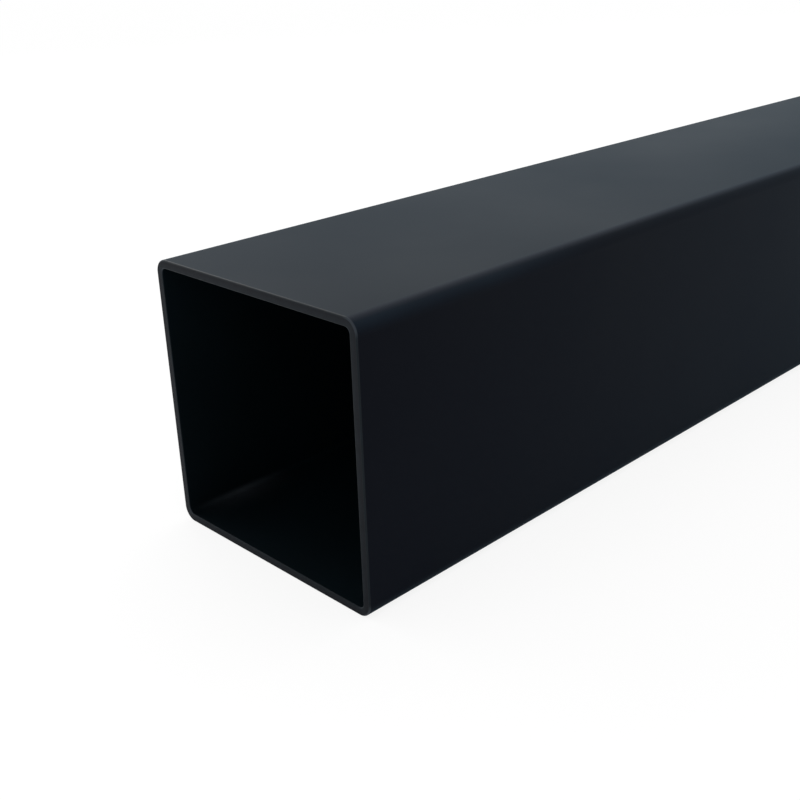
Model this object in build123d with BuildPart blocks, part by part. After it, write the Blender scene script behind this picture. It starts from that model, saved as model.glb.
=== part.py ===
"""Square metal tube: one length of cold-formed box section.

A flat strip is bent at four corners, so the wall is equally thick all round
and the inside and outside bends of a corner share one centre.  Both ends are
sawn square, and the saw burr is taken off their outer and inner rims.

Frame: the tube lies along X with its middle at x = 0, centred on y = 0, and
its underside is on z = 0.  All sizes are in millimetres.
"""
from build123d import *
import os

# Driving dimensions
side = 100.0               # outside width and height of the section
wall = 3.0                 # thickness of the strip
inside_bend_radius = 2.0   # bend of the strip, measured on the bore side
length = 1000.0            # cut length
outer_rim_radius = 0.5     # rounding of the cut end's outer rim
inner_rim_radius = 0.3     # rounding of the cut end's inner rim

# The bore and the outside bends follow from the strip
bore = side - 2 * wall
outside_bend_radius = inside_bend_radius + wall

# The section stands across the tube's axis, at the end on the -X side
tube_axis_height = side / 2
section_plane = Plane(
    origin=(-length / 2, 0, tube_axis_height), x_dir=(0, 1, 0), z_dir=(1, 0, 0)
)

with BuildPart() as square_tube:
    # Rolled section: the outline of the strip, less the bore
    with BuildSketch(section_plane) as section:
        RectangleRounded(side, side, outside_bend_radius)
        RectangleRounded(bore, bore, inside_bend_radius, mode=Mode.SUBTRACT)
    extrude(amount=length)

    # Sawn ends: the first and the last face along the tube
    cut_faces = square_tube.faces().sort_by(Axis.X)
    sawn_ends = [cut_faces[0], cut_faces[-1]]
    outer_rims = [edge for end in sawn_ends for edge in end.outer_wire().edges()]
    inner_rims = [
        edge for end in sawn_ends for wire in end.inner_wires() for edge in wire.edges()
    ]
    fillet(outer_rims, radius=outer_rim_radius)
    fillet(inner_rims, radius=inner_rim_radius)

square_tube.part.label = "square_tube"

os.makedirs("parts", exist_ok=True)
export_step(square_tube.part, "parts/square_tube.step")
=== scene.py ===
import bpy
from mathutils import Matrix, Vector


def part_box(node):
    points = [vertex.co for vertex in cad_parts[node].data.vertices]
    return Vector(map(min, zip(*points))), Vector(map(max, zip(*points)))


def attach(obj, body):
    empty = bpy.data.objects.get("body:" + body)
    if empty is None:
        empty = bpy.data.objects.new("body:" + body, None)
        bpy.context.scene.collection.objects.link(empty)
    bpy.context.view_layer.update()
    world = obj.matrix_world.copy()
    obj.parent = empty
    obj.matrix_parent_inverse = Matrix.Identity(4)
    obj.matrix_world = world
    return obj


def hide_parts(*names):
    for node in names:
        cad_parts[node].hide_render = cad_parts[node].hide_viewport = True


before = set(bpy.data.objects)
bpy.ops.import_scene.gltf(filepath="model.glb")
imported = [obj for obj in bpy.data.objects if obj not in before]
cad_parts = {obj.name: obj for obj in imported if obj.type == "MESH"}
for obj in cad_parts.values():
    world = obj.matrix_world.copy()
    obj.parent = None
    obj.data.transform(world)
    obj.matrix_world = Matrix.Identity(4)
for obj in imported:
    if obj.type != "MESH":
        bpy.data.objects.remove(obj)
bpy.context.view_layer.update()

import math

import bmesh
import bpy
from bpy.props import FloatProperty, FloatVectorProperty, IntProperty, PointerProperty
from mathutils import Matrix, Vector

bl_info = {
    "name": "Square Metal Tube",
    "version": (1, 0, 0),
    "blender": (4, 5, 0),
    "location": "View3D > Sidebar > Square Tube",
    "description": "Builds a coated length of square box section on a studio floor",
    "category": "Add Mesh",
}

# Names of the solid tube, of its body, and of the dressed tube over it
TUBE_NODE = "square_tube"
TUBE_BODY = "root"
PIECE_NAME = "coated_tube"

# Lowest and highest corners, middle and sizes of the solid tube
TUBE_LOW, TUBE_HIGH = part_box(TUBE_NODE)
MIDDLE = (TUBE_LOW + TUBE_HIGH) / 2
LENGTH = TUBE_HIGH.x - TUBE_LOW.x
SIDE = TUBE_HIGH.z - TUBE_LOW.z

MM = 0.001

# Material slots of the tube's mesh, in order
COAT, SAWN, RIM, BORE = range(4)

# A face whose normal leans further than this towards X belongs to a sawn end
SAWN_LEAN = 0.5

# A vertex nearer than this to the plane of a sawn end lies in it
END_TOLERANCE = 0.01 * MM

# Nearly all the values of a noise lie between these two
NOISE_SPAN = (0.3, 0.7)

# Shares of the full bend mark, a painted highlight over a little rubbed coat, that the
# tube's middle and its lower bends have; the lower bends face away from the light
MIDDLE_BEND_HIGHLIGHT_AND_WEAR = 0.15
LOWER_BENDS_HIGHLIGHT = 0.1

# The side faces carry no painted highlight or wear between these shares of their
# height, so there the share of the lower bends gives way to that of the upper ones
SIDE_FACE_CENTRE = (0.3, 0.7)

# Distances from an end at which the painted highlight and wear of the long bends are
# full and have faded
BEND_HIGHLIGHT_FULL_END = 10 * MM
FADED_END = 140 * MM

# Distances from an end at which the painted highlight streaks in the bore begin, peak
# and end
STREAK_START = 3 * MM
STREAK_PEAK = 24 * MM
STREAK_STOP = 46 * MM

# Half the side of the floor, its colour, and its share of plain white as the camera
# and as glossy rays see it
FLOOR_REACH = 30.0
FLOOR_COLOUR = (0.98, 0.98, 0.98, 1.0)
FLOOR_WHITE_SEEN = 0.85
FLOOR_WHITE_MIRRORED = 0.1

# The camera's sensor in millimetres, and the nearest and furthest that it sees
SENSOR_WIDTH = 36.0
CLIP_START = 0.01
CLIP_END = 200.0


# ---------------------------------------------------------------- settings


class TubeSettings(bpy.types.PropertyGroup):
    """Sizes of the rolled section and colours of its finishes."""

    wall: FloatProperty(
        name="Wall",
        description="Thickness of the rolled strip",
        default=3.0 * MM,
        min=0.5 * MM,
        unit="LENGTH",
        precision=4,
    )
    outside_bend: FloatProperty(
        name="Outside bend",
        description="Outside radius of the four long bends",
        default=5.0 * MM,
        min=0.6 * MM,
        unit="LENGTH",
        precision=4,
    )
    outer_rim: FloatProperty(
        name="Outer rim",
        description="Rounding of the outer edge of a sawn end",
        default=0.5 * MM,
        min=0.05 * MM,
        unit="LENGTH",
        precision=4,
    )
    inner_rim: FloatProperty(
        name="Inner rim",
        description="Rounding of the inner edge of a sawn end",
        default=0.3 * MM,
        min=0.05 * MM,
        unit="LENGTH",
        precision=4,
    )
    bend_segments: IntProperty(
        name="Bend segments",
        description="Faces across each long bend",
        default=20,
        min=4,
        max=64,
    )
    rim_segments: IntProperty(
        name="Rim segments",
        description="Faces across each rounded rim",
        default=5,
        min=2,
        max=16,
    )
    coat_colour: FloatVectorProperty(
        name="Coat",
        description="Colour of the blue-black coat on the outside",
        default=(0.0001, 0.0003, 0.0026),
        min=0.0,
        max=1.0,
        subtype="COLOR",
    )
    bloom_colour: FloatVectorProperty(
        name="Coat bloom",
        description="Colour of the thin veil that the coat shows at a low angle",
        default=(0.06, 0.6, 1.0),
        min=0.0,
        max=1.0,
        subtype="COLOR",
    )
    # Painted highlight on the long bends, over a little rubbed coat
    bend_highlight_colour: FloatVectorProperty(
        name="Worn coat",
        description="Colour of the coat where handling has rubbed it on the bends",
        default=(0.0048, 0.0092, 0.0155),
        min=0.0,
        max=1.0,
        subtype="COLOR",
    )
    # Painted highlight on the shoulders of the upper bends
    shoulder_highlight_colour: FloatVectorProperty(
        name="Rubbed shoulder",
        description="Colour of the shoulders of the upper bends, rubbed by loads",
        default=(0.0138, 0.0160, 0.0228),
        min=0.0,
        max=1.0,
        subtype="COLOR",
    )
    sawn_colour: FloatVectorProperty(
        name="Sawn face",
        description="Colour of the thinly coated sawn ends",
        default=(0.0062, 0.0092, 0.0125),
        min=0.0,
        max=1.0,
        subtype="COLOR",
    )
    rim_colour: FloatVectorProperty(
        name="Rim",
        description="Colour of the rubbed rims of the sawn ends",
        default=(0.0014, 0.0046, 0.0076),
        min=0.0,
        max=1.0,
        subtype="COLOR",
    )
    # Painted highlight on the rims where they round the bends
    rim_bend_highlight_colour: FloatVectorProperty(
        name="Worn rim",
        description="Colour of the rims on the bends, where they are rubbed most",
        default=(0.020, 0.026, 0.034),
        min=0.0,
        max=1.0,
        subtype="COLOR",
    )
    bore_colour: FloatVectorProperty(
        name="Bore",
        description="Colour of the inside of the tube",
        default=(0.0006, 0.0032, 0.0048),
        min=0.0,
        max=1.0,
        subtype="COLOR",
    )
    # Painted highlight streaks in the bore's inside bends near the ends
    bore_streak_highlight_colour: FloatVectorProperty(
        name="Worn bore",
        description="Colour of the bore's bends near the ends, where the coat is thin",
        default=(0.0165, 0.0195, 0.0235),
        min=0.0,
        max=1.0,
        subtype="COLOR",
    )


class StudioSettings(bpy.types.PropertyGroup):
    """Camera, lamps and floor of the studio."""

    camera_place: FloatVectorProperty(
        name="Camera place",
        description="Where the camera stands",
        default=(-0.6960, -0.2691, 0.2012),
        subtype="XYZ",
        unit="LENGTH",
        precision=4,
    )
    heading: FloatProperty(
        name="Heading",
        description="Turn of the view from +Y towards +X",
        default=math.radians(44.081),
        subtype="ANGLE",
    )
    dip: FloatProperty(
        name="Dip",
        description="How far the camera looks below the horizon",
        default=math.radians(23.191),
        subtype="ANGLE",
    )
    roll: FloatProperty(
        name="Roll",
        description="Turn of the camera about its own line of sight",
        default=math.radians(-1.928),
        subtype="ANGLE",
    )
    lens: FloatProperty(
        name="Lens",
        description="Focal length on a 36 mm sensor, in millimetres",
        default=49.96,
        min=10.0,
    )
    end_softbox_power: FloatProperty(
        name="End softbox",
        description="Power of the softbox behind the open end",
        default=4.3,
        min=0.0,
        unit="POWER",
    )
    middle_softbox_power: FloatProperty(
        name="Middle softbox",
        description="Power of the softbox behind the tube's middle",
        default=5.7,
        min=0.0,
        unit="POWER",
    )
    over_softbox_power: FloatProperty(
        name="Overhead softbox",
        description="Power of the softbox over the open end",
        default=2.0,
        min=0.0,
        unit="POWER",
    )
    fill: FloatProperty(
        name="Fill",
        description="Strength of the light that comes from all round",
        default=1.0,
        min=0.0,
    )


# ---------------------------------------------------------------- materials


def new_material(name, ior):
    """A plain material, with its node tree, shader and object coordinates."""
    material = bpy.data.materials.new(name)
    material.use_nodes = True
    tree = material.node_tree
    shader = tree.nodes["Principled BSDF"]
    shader.inputs["IOR"].default_value = ior
    place = tree.nodes.new("ShaderNodeTexCoord").outputs["Object"]
    return material, tree, shader, place


def arithmetic(tree, operation, *values):
    """The result of a Math node on sockets and plain numbers."""
    node = tree.nodes.new("ShaderNodeMath")
    node.operation = operation
    for socket, value in zip(node.inputs, values):
        if isinstance(value, bpy.types.NodeSocket):
            tree.links.new(value, socket)
        else:
            socket.default_value = value
    return node.outputs["Value"]


def product(tree, first, *others):
    """All the given shares multiplied with each other."""
    for other in others:
        first = arithmetic(tree, "MULTIPLY", first, other)
    return first


def noise(tree, place, scale, detail, squeeze=(1.0, 1.0, 1.0)):
    """Noise with the given cells per metre, squeezed along X, Y and Z."""
    mapping = tree.nodes.new("ShaderNodeMapping")
    mapping.inputs["Scale"].default_value = squeeze
    texture = tree.nodes.new("ShaderNodeTexNoise")
    texture.inputs["Scale"].default_value = scale
    texture.inputs["Detail"].default_value = detail
    tree.links.new(place, mapping.inputs["Vector"])
    tree.links.new(mapping.outputs["Vector"], texture.inputs["Vector"])
    return texture.outputs["Fac"]


def colour_range(tree, factor, colour, spread):
    """The colour, darker by spread where a noise is low and lighter where it's high."""
    node = tree.nodes.new("ShaderNodeValToRGB")
    ends = zip(node.color_ramp.elements, NOISE_SPAN, (1 - spread, 1 + spread))
    for element, position, share in ends:
        element.position = position
        element.color = [channel * share for channel in colour] + [1.0]
    tree.links.new(factor, node.inputs["Fac"])
    return node.outputs["Color"]


def value_range(tree, factor, low, high, span=NOISE_SPAN, smooth=False):
    """The factor mapped from its span, by default that of a noise, to low and high."""
    node = tree.nodes.new("ShaderNodeMapRange")
    node.interpolation_type = "SMOOTHSTEP" if smooth else "LINEAR"
    node.inputs["From Min"].default_value = span[0]
    node.inputs["From Max"].default_value = span[1]
    node.inputs["To Min"].default_value = low
    node.inputs["To Max"].default_value = high
    tree.links.new(factor, node.inputs["Value"])
    return node.outputs["Result"]


def blend_colours(tree, factor, first, second):
    """The first colour where the factor is 0, the second where it is 1."""
    node = tree.nodes.new("ShaderNodeMix")
    node.data_type = "RGBA"
    tree.links.new(factor, node.inputs["Factor"])
    for socket, colour in ((node.inputs["A"], first), (node.inputs["B"], second)):
        if isinstance(colour, bpy.types.NodeSocket):
            tree.links.new(colour, socket)
        else:
            socket.default_value = (*colour, 1.0)
    return node.outputs["Result"]


def bump(tree, height, depth, strength, under=None):
    """A bump as deep as depth in metres, over another bump if one is given."""
    node = tree.nodes.new("ShaderNodeBump")
    node.inputs["Distance"].default_value = depth
    node.inputs["Strength"].default_value = strength
    tree.links.new(height, node.inputs["Height"])
    if under is not None:
        tree.links.new(under, node.inputs["Normal"])
    return node.outputs["Normal"]


def off_middle(tree, place, axes):
    """How far a point lies from the tube's middle along each of the given axes."""
    node = tree.nodes.new("ShaderNodeSeparateXYZ")
    tree.links.new(place, node.inputs["Vector"])
    distances = []
    for axis in axes:
        middle = MIDDLE["XYZ".index(axis)]
        beyond = arithmetic(tree, "SUBTRACT", node.outputs[axis], middle)
        distances.append(arithmetic(tree, "ABSOLUTE", beyond))
    return distances


def on_bends(tree, place, settings, start, full):
    """0 on the flats and 1 on the four bends.

    Start and full say how far below the outer faces this begins and is complete,
    in radii of the outside bends.
    """
    across, up = off_middle(tree, place, "YZ")
    nearer = arithmetic(tree, "MINIMUM", across, up)
    span = [SIDE / 2 - radii * settings.outside_bend for radii in (start, full)]
    return value_range(tree, nearer, 0.0, 1.0, span, smooth=True)


def upper_share(tree, place):
    """1 on the upper bends, less on the lower ones, which lie on the floor away from
    the light from above: how much painted highlight each bend gets.
    """
    node = tree.nodes.new("ShaderNodeSeparateXYZ")
    tree.links.new(place, node.inputs["Vector"])
    span = [TUBE_LOW.z + share * SIDE for share in SIDE_FACE_CENTRE]
    return value_range(tree, node.outputs["Z"], LOWER_BENDS_HIGHLIGHT, 1.0, span)


def bend_highlight_and_wear(tree, place, settings):
    """Where the long outside bends are lighter: a painted highlight over a little
    rubbed coat, most near the ends and a little between.

    The lower bends, which lie on the floor away from the light, get little of it.
    """
    (along,) = off_middle(tree, place, "X")
    bends = on_bends(tree, place, settings, start=1.2, full=0.1)
    span = (LENGTH / 2 - FADED_END, LENGTH / 2 - BEND_HIGHLIGHT_FULL_END)
    near_end = value_range(tree, along, MIDDLE_BEND_HIGHLIGHT_AND_WEAR, 1.0, span, smooth=True)
    upper = upper_share(tree, place)
    cloud = noise(tree, place, scale=35.0, detail=3.0)
    patchy = value_range(tree, cloud, low=0.8, high=1.2)
    return product(tree, bends, near_end, upper, patchy)


def painted_shoulder_highlight(tree, place, settings):
    """A painted highlight on the shoulders of the upper bends, where they turn down
    from the top.

    The band begins just before a bend and fades over the first half of it. Its
    limits are depths below the outer faces, in radii of the outside bends.
    """
    across, up = off_middle(tree, place, "YZ")
    radius = settings.outside_bend
    begin_span = (SIDE / 2 - 1.1 * radius, SIDE / 2 - 0.7 * radius)
    begin = value_range(tree, across, 0.0, 1.0, begin_span, smooth=True)
    fade_span = (SIDE / 2 - 0.25 * radius, SIDE / 2)
    fade = value_range(tree, up, 0.0, 1.0, fade_span)
    return product(tree, begin, fade, upper_share(tree, place))


def painted_bore_streak(tree, place, settings):
    """A painted highlight streak in each of the bore's inside bends near the ends.

    It starts behind the rim and lies more on the lower or upper wall than on the side.
    """
    along, across, up = off_middle(tree, place, "XYZ")
    inner_face = SIDE / 2 - settings.wall
    flat_span = (inner_face - 15 * MM, inner_face - 1.5 * MM)
    upright_span = (inner_face - 2.8 * MM, inner_face - 0.8 * MM)
    rise_span = (LENGTH / 2 - STREAK_PEAK, LENGTH / 2 - STREAK_START)
    fall_span = (LENGTH / 2 - STREAK_STOP, LENGTH / 2 - STREAK_PEAK)
    flat = value_range(tree, across, 0.0, 1.0, flat_span)
    upright = value_range(tree, up, 0.0, 1.0, upright_span)
    rise = value_range(tree, along, 1.0, 0.0, rise_span)
    fall = value_range(tree, along, 0.0, 1.0, fall_span)
    bend = arithmetic(tree, "MINIMUM", flat, upright)
    near_end = arithmetic(tree, "MINIMUM", rise, fall)
    return product(tree, bend, bend, near_end)


def coat_material(settings):
    """Smooth blue-black satin: orange peel, faint rolling lines, and painted highlights
    on the bends over a little rubbed coat.
    """
    material, tree, shader, place = new_material("blue_black_satin_coat", ior=1.135)
    cloud = noise(tree, place, scale=9.0, detail=3.0)
    coat = colour_range(tree, cloud, settings.coat_colour, spread=0.1)
    # Painted highlight on the long bends, over a little rubbed coat
    bends = bend_highlight_and_wear(tree, place, settings)
    rubbed = blend_colours(tree, bends, coat, settings.bend_highlight_colour)
    # Painted highlight on the shoulders of the upper bends
    shoulders = painted_shoulder_highlight(tree, place, settings)
    rubbed = blend_colours(tree, shoulders, rubbed, settings.shoulder_highlight_colour)
    tree.links.new(rubbed, shader.inputs["Base Color"])
    satin = value_range(tree, cloud, low=0.57, high=0.63)
    tree.links.new(satin, shader.inputs["Roughness"])
    # The bloom of the coat: a thin bluish veil at a low angle
    shader.inputs["Sheen Weight"].default_value = 0.05
    shader.inputs["Sheen Roughness"].default_value = 0.4
    shader.inputs["Sheen Tint"].default_value = (*settings.bloom_colour, 1.0)
    peel = noise(tree, place, scale=650.0, detail=1.0)
    rolled = noise(tree, place, scale=8.0, detail=2.0, squeeze=(1.0, 30.0, 30.0))
    lines = bump(tree, rolled, depth=0.02 * MM, strength=0.3)
    peeled = bump(tree, peel, depth=0.01 * MM, strength=0.5, under=lines)
    tree.links.new(peeled, shader.inputs["Normal"])
    return material


def sawn_material(settings):
    """Sawn end: fine straight marks under a thin coat that creeps in from outside."""
    material, tree, shader, place = new_material("sawn_end_thin_coat", ior=1.196)
    shader.inputs["Roughness"].default_value = 0.6
    grain = noise(tree, place, scale=300.0, detail=3.0)
    bare = colour_range(tree, grain, settings.sawn_colour, spread=0.2)
    across, up = off_middle(tree, place, "YZ")
    further = arithmetic(tree, "MAXIMUM", across, up)
    wall_span = (SIDE / 2 - settings.wall, SIDE / 2)
    creep = value_range(tree, further, low=0.0, high=0.8, span=wall_span)
    coated = blend_colours(tree, creep, bare, settings.coat_colour)
    tree.links.new(coated, shader.inputs["Base Color"])
    marks = noise(tree, place, scale=60.0, detail=2.0, squeeze=(1.0, 1.0, 40.0))
    sawn = bump(tree, marks, depth=0.03 * MM, strength=0.6)
    tree.links.new(sawn, shader.inputs["Normal"])
    return material


def rim_material(settings):
    """Deburred rim: smoother and lighter than the coat beside it, with a painted
    highlight on the bends.
    """
    material, tree, shader, place = new_material("deburred_rim_painted_highlight", ior=1.225)
    shader.inputs["Roughness"].default_value = 0.4
    grain = noise(tree, place, scale=120.0, detail=3.0)
    thin = colour_range(tree, grain, settings.rim_colour, spread=0.3)
    # Painted highlight on the rims at the bends
    bends = on_bends(tree, place, settings, start=1.2, full=0.6)
    rubbed = blend_colours(tree, bends, thin, settings.rim_bend_highlight_colour)
    tree.links.new(rubbed, shader.inputs["Base Color"])
    return material


def bore_material(settings):
    """Inside of the tube: a dull coat with rolling lines, and painted highlight streaks
    in its bends near the ends.
    """
    material, tree, shader, place = new_material("dull_bore_coat", ior=1.18)
    shader.inputs["Roughness"].default_value = 0.55
    cloud = noise(tree, place, scale=14.0, detail=3.0)
    coat = colour_range(tree, cloud, settings.bore_colour, spread=0.25)
    # Painted highlight streaks in the inside bends near the ends
    streaks = painted_bore_streak(tree, place, settings)
    rubbed = blend_colours(tree, streaks, coat, settings.bore_streak_highlight_colour)
    tree.links.new(rubbed, shader.inputs["Base Color"])
    rolled = noise(tree, place, scale=6.0, detail=2.0, squeeze=(1.0, 40.0, 40.0))
    lines = bump(tree, rolled, depth=0.03 * MM, strength=0.4)
    tree.links.new(lines, shader.inputs["Normal"])
    return material


# ---------------------------------------------------------------- tube


def rolled_ring(bm, settings):
    """The section as a flat ring of faces across the tube, at its -X end."""
    end_middle = Matrix.Translation((TUBE_LOW.x, MIDDLE.y, MIDDLE.z))
    upright = Matrix.Rotation(math.radians(-90.0), 4, "Y")
    bmesh.ops.create_grid(
        bm, x_segments=1, y_segments=1, size=SIDE / 2, matrix=end_middle @ upright
    )
    bmesh.ops.bevel(
        bm,
        geom=bm.verts[:],
        affect="VERTICES",
        offset=settings.outside_bend,
        segments=settings.bend_segments,
        profile=0.5,
        material=-1,
    )
    plate = bm.faces[:]
    ring = bmesh.ops.inset_individual(
        bm, faces=plate, thickness=settings.wall, use_even_offset=True
    )["faces"]
    bmesh.ops.delete(bm, geom=plate, context="FACES_ONLY")
    return ring


def is_at_end(edge):
    """Whether the edge lies in the plane of a sawn end."""
    return any(
        all(abs(vertex.co.x - end) < END_TOLERANCE for vertex in edge.verts)
        for end in (TUBE_LOW.x, TUBE_HIGH.x)
    )


def is_outer(edge, settings):
    """Whether an edge lies on the outside of the wall and not on the bore."""
    place = (edge.verts[0].co + edge.verts[1].co) / 2
    across, up = abs(place.y - MIDDLE.y), abs(place.z - MIDDLE.z)
    bend_centre = SIDE / 2 - settings.outside_bend
    if across > bend_centre and up > bend_centre:
        from_centre = math.hypot(across - bend_centre, up - bend_centre)
        return from_centre > settings.outside_bend - settings.wall / 2
    return max(across, up) > SIDE / 2 - settings.wall / 2


def round_rim(bm, edges, radius, segments):
    """Rounds the given rim edges and marks the new faces as rubbed rim."""
    rounded = bmesh.ops.bevel(
        bm,
        geom=edges,
        affect="EDGES",
        offset=radius,
        segments=segments,
        profile=0.5,
        material=-1,
    )
    for face in rounded["faces"]:
        face.material_index = RIM


def tube_mesh(settings):
    """The whole tube: ring, run out along X, with both rims of both ends rounded."""
    bm = bmesh.new()
    ring = rolled_ring(bm, settings)
    run = bmesh.ops.extrude_face_region(bm, geom=ring, use_keep_orig=True)["geom"]
    far_end = [item for item in run if isinstance(item, bmesh.types.BMVert)]
    bmesh.ops.translate(bm, verts=far_end, vec=(LENGTH, 0.0, 0.0))
    bmesh.ops.recalc_face_normals(bm, faces=bm.faces[:])
    for face in bm.faces:
        face.smooth = True
        if abs(face.normal.x) > SAWN_LEAN:
            face.material_index = SAWN
        elif all(is_outer(edge, settings) for edge in face.edges if is_at_end(edge)):
            face.material_index = COAT
        else:
            face.material_index = BORE
    rims = [
        edge
        for edge in bm.edges
        if is_at_end(edge)
        and {face.material_index for face in edge.link_faces} & {COAT, BORE}
    ]
    outer = [edge for edge in rims if is_outer(edge, settings)]
    inner = [edge for edge in rims if not is_outer(edge, settings)]
    round_rim(bm, outer, settings.outer_rim, settings.rim_segments)
    round_rim(bm, inner, settings.inner_rim, settings.rim_segments)
    mesh = bpy.data.meshes.new(PIECE_NAME)
    bm.to_mesh(mesh)
    bm.free()
    return mesh


class TUBE_OT_add_tube(bpy.types.Operator):
    """Build the coated square tube over its solid"""

    bl_idname = "tube.add_tube"
    bl_label = "Add Square Tube"
    bl_options = {"REGISTER", "UNDO"}

    def execute(self, context):
        settings = context.scene.square_tube
        mesh = tube_mesh(settings)
        for make in (coat_material, sawn_material, rim_material, bore_material):
            mesh.materials.append(make(settings))
        tube = bpy.data.objects.new(PIECE_NAME, mesh)
        context.collection.objects.link(tube)
        tube.modifiers.new("flat_walls", "WEIGHTED_NORMAL")
        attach(tube, TUBE_BODY)
        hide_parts(TUBE_NODE)
        return {"FINISHED"}


# ---------------------------------------------------------------- studio


def seen_share(tree, seen, mirrored):
    """A share for camera rays, another for glossy and glass rays, 0 for the rest."""
    path = tree.nodes.new("ShaderNodeLightPath").outputs
    camera = arithmetic(tree, "MULTIPLY", path["Is Camera Ray"], seen)
    glossy = arithmetic(tree, "MULTIPLY", path["Is Glossy Ray"], mirrored)
    glass = arithmetic(tree, "MULTIPLY", path["Is Transmission Ray"], mirrored)
    bounced = arithmetic(tree, "MAXIMUM", glossy, glass)
    return arithmetic(tree, "MAXIMUM", camera, bounced)


def mix_shaders(tree, factor, first, second, output):
    """Gives an output node the first shader where the factor is 0, else the second."""
    mix = tree.nodes.new("ShaderNodeMixShader")
    tree.links.new(factor, mix.inputs["Fac"])
    for source, socket in ((first, mix.inputs[1]), (second, mix.inputs[2])):
        tree.links.new(source.outputs[0], socket)
    tree.links.new(mix.outputs[0], tree.nodes.new(output).inputs["Surface"])


def add_world(settings):
    """Plain white surroundings, with a fill of their own on what they light."""
    world = bpy.data.worlds.new("studio_white")
    bpy.context.scene.world = world
    world.use_nodes = True
    tree = world.node_tree
    tree.nodes.clear()
    fill = tree.nodes.new("ShaderNodeBackground")
    white = tree.nodes.new("ShaderNodeBackground")
    for light, strength in ((fill, settings.fill), (white, 1.0)):
        light.inputs["Color"].default_value = (1.0, 1.0, 1.0, 1.0)
        light.inputs["Strength"].default_value = strength
    seen = seen_share(tree, seen=1.0, mirrored=1.0)
    mix_shaders(tree, seen, fill, white, "ShaderNodeOutputWorld")


def floor_material():
    """Pale floor that reads as white where it is lit and keeps the soft shadow."""
    material = bpy.data.materials.new("studio_floor_white")
    material.use_nodes = True
    tree = material.node_tree
    tree.nodes.clear()
    matt = tree.nodes.new("ShaderNodeBsdfDiffuse")
    matt.inputs["Color"].default_value = FLOOR_COLOUR
    glow = tree.nodes.new("ShaderNodeEmission")
    glow.inputs["Strength"].default_value = 1.0
    white = seen_share(tree, seen=FLOOR_WHITE_SEEN, mirrored=FLOOR_WHITE_MIRRORED)
    mix_shaders(tree, white, matt, glow, "ShaderNodeOutputMaterial")
    return material


def add_floor():
    """A wide floor at the tube's underside."""
    bm = bmesh.new()
    bmesh.ops.create_grid(bm, x_segments=1, y_segments=1, size=FLOOR_REACH)
    bmesh.ops.translate(bm, verts=bm.verts[:], vec=(0.0, 0.0, TUBE_LOW.z))
    mesh = bpy.data.meshes.new("studio_floor")
    bm.to_mesh(mesh)
    bm.free()
    mesh.materials.append(floor_material())
    floor = bpy.data.objects.new("studio_floor", mesh)
    bpy.context.collection.objects.link(floor)


def add_softbox(name, power, size, place, target):
    """A softbox of the given width and height at place, turned to target."""
    lamp = bpy.data.lights.new(name, "AREA")
    lamp.shape = "RECTANGLE"
    lamp.size, lamp.size_y = size
    lamp.energy = power
    softbox = bpy.data.objects.new(name, lamp)
    softbox.visible_camera = False
    aim = (Vector(target) - Vector(place)).to_track_quat("-Z", "Y")
    softbox.matrix_world = Matrix.Translation(place) @ aim.to_matrix().to_4x4()
    bpy.context.collection.objects.link(softbox)


def add_softboxes(settings):
    """Softboxes behind the open end, behind the tube's middle and over the open end."""
    add_softbox(
        "softbox_end",
        power=settings.end_softbox_power,
        size=(1.4, 0.7),
        place=(-0.45, 1.1, 0.9),
        target=(-0.45, 0.0, 0.08),
    )
    add_softbox(
        "softbox_middle",
        power=settings.middle_softbox_power,
        size=(2.0, 0.7),
        place=(0.6, 1.3, 0.7),
        target=(-0.2, 0.0, 0.1),
    )
    add_softbox(
        "softbox_over",
        power=settings.over_softbox_power,
        size=(0.8, 0.8),
        place=(0.2, 0.15, 1.1),
        target=(-0.4, 0.0, 0.1),
    )


def add_camera(settings):
    """The camera, placed and turned by the studio's settings."""
    data = bpy.data.cameras.new("studio_camera")
    data.sensor_width = SENSOR_WIDTH
    data.lens = settings.lens
    data.clip_start = CLIP_START
    data.clip_end = CLIP_END
    camera = bpy.data.objects.new("studio_camera", data)
    camera.matrix_world = (
        Matrix.Translation(settings.camera_place)
        @ Matrix.Rotation(-settings.heading, 4, "Z")
        @ Matrix.Rotation(math.radians(90.0) - settings.dip, 4, "X")
        @ Matrix.Rotation(settings.roll, 4, "Z")
    )
    bpy.context.collection.objects.link(camera)
    bpy.context.scene.camera = camera


class TUBE_OT_add_stage(bpy.types.Operator):
    """Set up the floor, the light and the camera"""

    bl_idname = "tube.add_stage"
    bl_label = "Add Studio"
    bl_options = {"REGISTER", "UNDO"}

    def execute(self, context):
        settings = context.scene.tube_studio
        context.scene.view_settings.view_transform = "Standard"
        add_world(settings)
        add_floor()
        add_softboxes(settings)
        add_camera(settings)
        return {"FINISHED"}


# ---------------------------------------------------------------- panel


class TUBE_PT_panel(bpy.types.Panel):
    """Sizes, colours and buttons for the square tube"""

    bl_idname = "TUBE_PT_panel"
    bl_label = "Square Tube"
    bl_space_type = "VIEW_3D"
    bl_region_type = "UI"
    bl_category = "Square Tube"

    def draw(self, context):
        for settings in (context.scene.square_tube, context.scene.tube_studio):
            box = self.layout.box()
            for name in settings.__annotations__:
                box.prop(settings, name)
        self.layout.operator(TUBE_OT_add_tube.bl_idname)
        self.layout.operator(TUBE_OT_add_stage.bl_idname)


CLASSES = (
    TubeSettings,
    StudioSettings,
    TUBE_OT_add_tube,
    TUBE_OT_add_stage,
    TUBE_PT_panel,
)


def register():
    for cls in CLASSES:
        bpy.utils.register_class(cls)
    bpy.types.Scene.square_tube = PointerProperty(type=TubeSettings)
    bpy.types.Scene.tube_studio = PointerProperty(type=StudioSettings)


def unregister():
    del bpy.types.Scene.tube_studio
    del bpy.types.Scene.square_tube
    for cls in reversed(CLASSES):
        bpy.utils.unregister_class(cls)


def main():
    """Builds the tube and the studio."""
    register()
    bpy.ops.tube.add_tube()
    bpy.ops.tube.add_stage()


if __name__ == "__main__":
    main()
